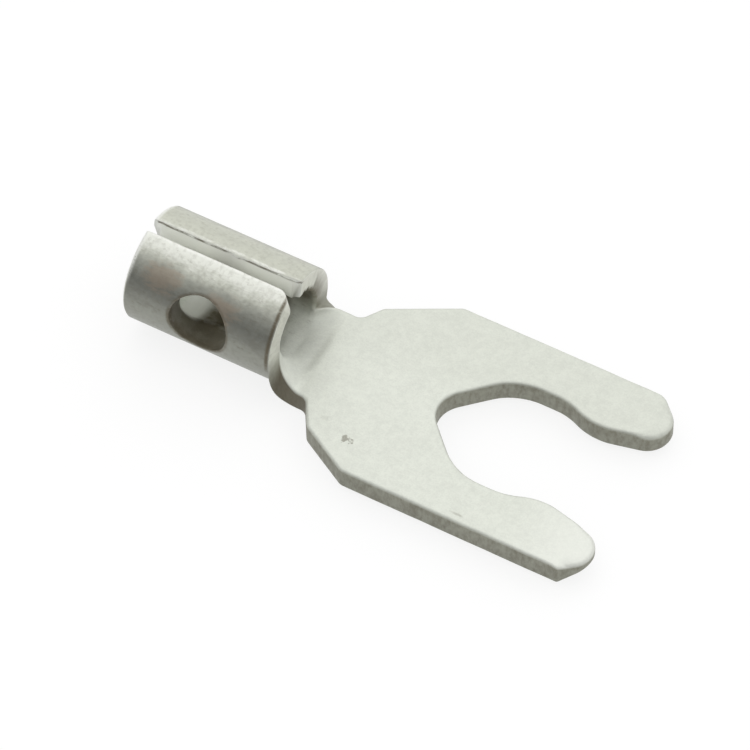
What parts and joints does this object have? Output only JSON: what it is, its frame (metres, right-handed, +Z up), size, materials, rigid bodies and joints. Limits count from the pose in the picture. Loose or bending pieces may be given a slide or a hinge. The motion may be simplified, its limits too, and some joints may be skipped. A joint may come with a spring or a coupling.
{
  "type": "fork terminal",
  "caption": "Bare fork terminal stamped from plated sheet: rolled wire barrel with an open seam and a side hole, trough neck, flat forked tongue with a narrowed throat that keeps a stud in.",
  "frame": {"origin": "on the stud's axis, at the underside of the flat tongue", "axes": "+X out of the fork's mouth, away from the wire; +Y to the side without the hole; +Z up, the way the barrel stands"},
  "size_m": [0.0179, 0.0078, 0.004],
  "materials": {
    "tin": "satin"
  },
  "bodies": {
    "root": {"terminal": "tin"}
  },
  "joints": []
}
